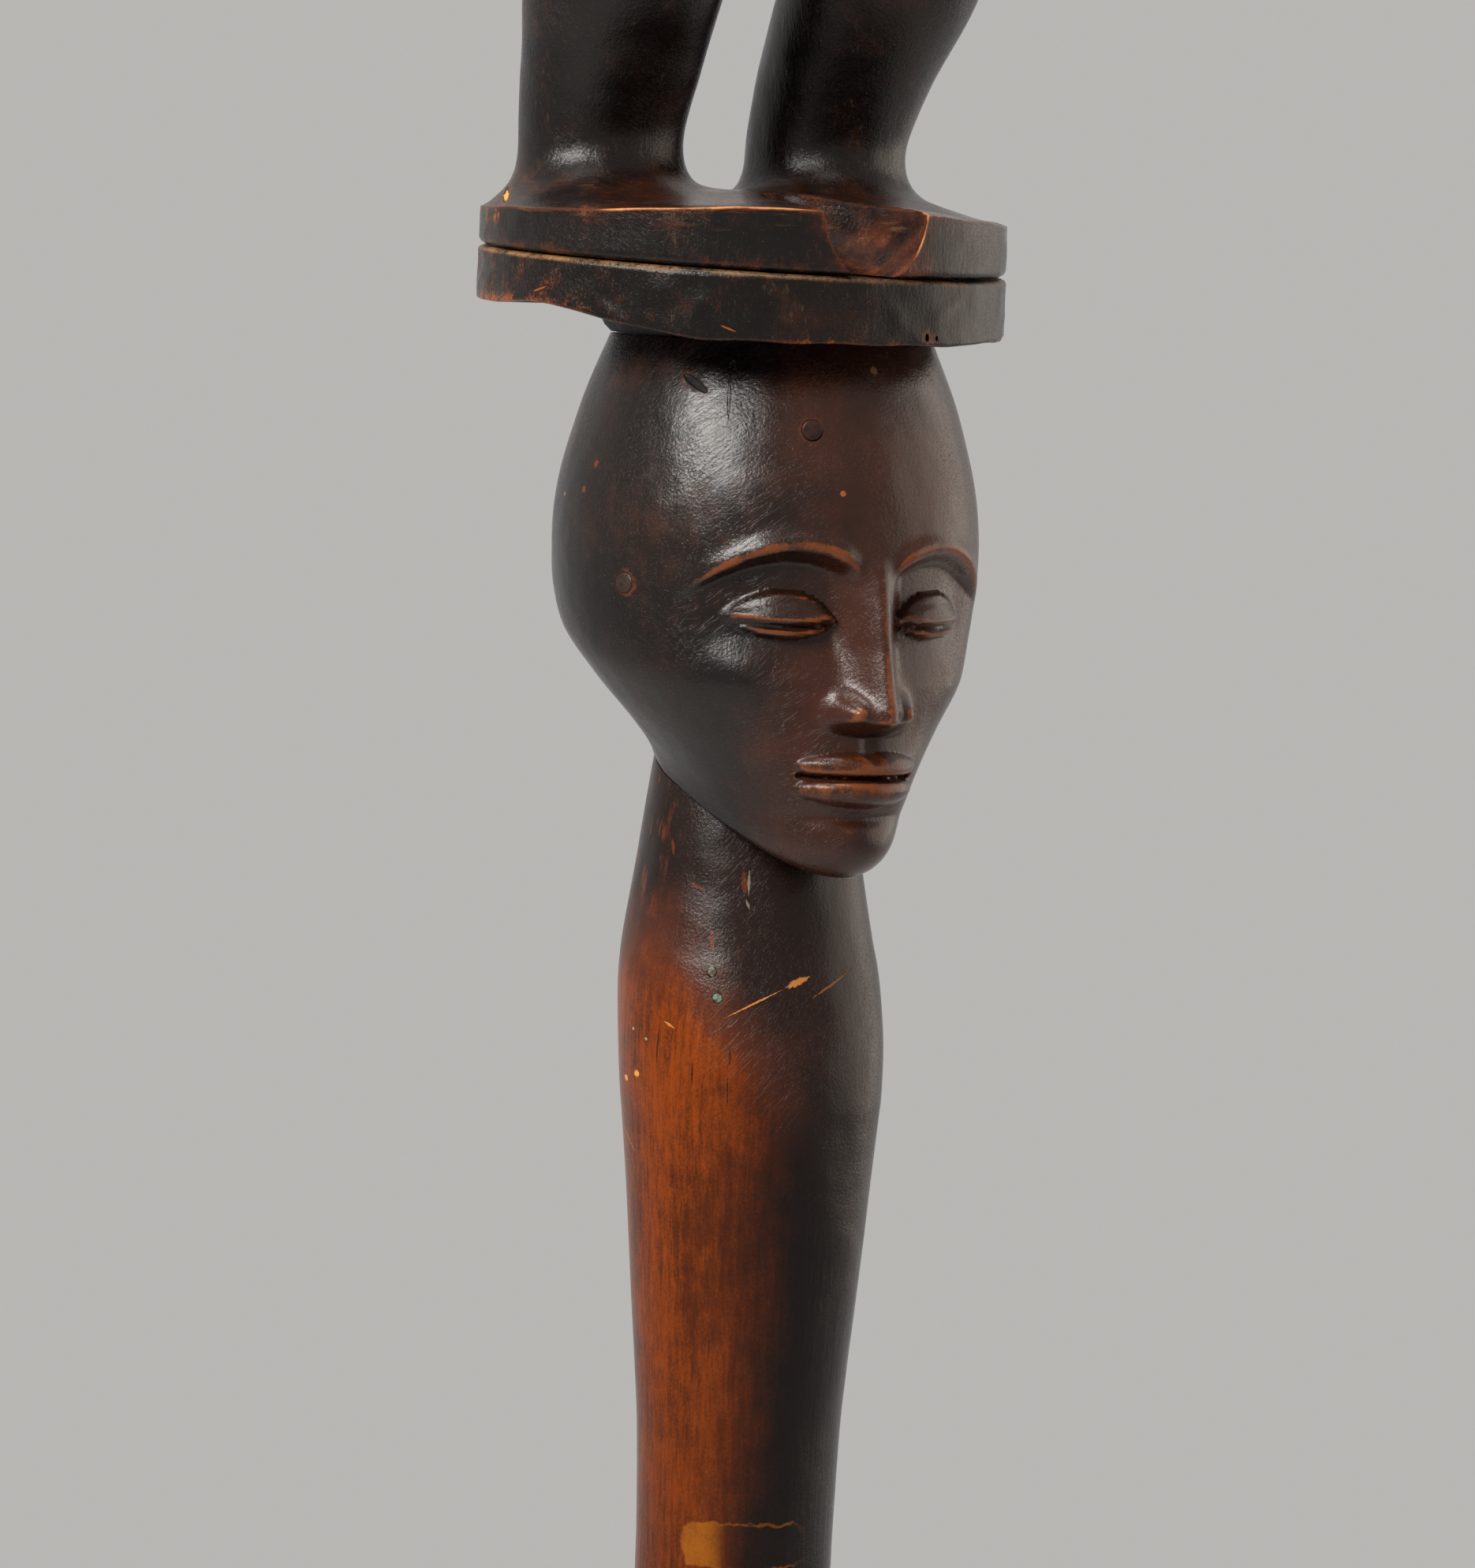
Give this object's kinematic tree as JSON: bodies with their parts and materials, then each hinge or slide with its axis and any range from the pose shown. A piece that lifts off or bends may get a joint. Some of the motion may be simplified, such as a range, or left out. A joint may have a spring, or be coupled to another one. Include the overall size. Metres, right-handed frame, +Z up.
{
  "type": "wooden staff",
  "caption": "Carved wooden staff: tapering shaft with an iron shoe, a carved head, a round grooved collar and a standing figure on its own plinth.",
  "frame": {"origin": "middle of the iron shoe's flat toe, on the axis of the shaft, where the staff meets the ground", "axes": "+Z up along the shaft, -Y the way both carved faces look, +X towards the figure's left hand"},
  "size_m": [0.0788, 0.0859, 0.8695],
  "materials": {
    "dark_wood": "carved hardwood with a glossy near-black brown patina, worn to orange on its edges",
    "shaft_wood": "polished amber-brown hardwood that darkens towards the neck",
    "peg_wood": "end-grain peg, rubbed flush",
    "iron": "forged iron, dark, worn bright at the toe",
    "copper_alloy": "copper-alloy wire, broken off flush, green with age"
  },
  "bodies": {
    "root": {"foot_ferrule": "iron", "ferrule_nail_right": "iron", "ferrule_nail_left": "iron", "shaft": "shaft_wood", "carved_head": "dark_wood", "side_peg": "peg_wood", "crown_peg": "peg_wood", "neck_tack_upper": "copper_alloy", "neck_tack_lower": "copper_alloy", "collar_disc": "dark_wood", "standing_figure": "dark_wood"}
  },
  "joints": []
}
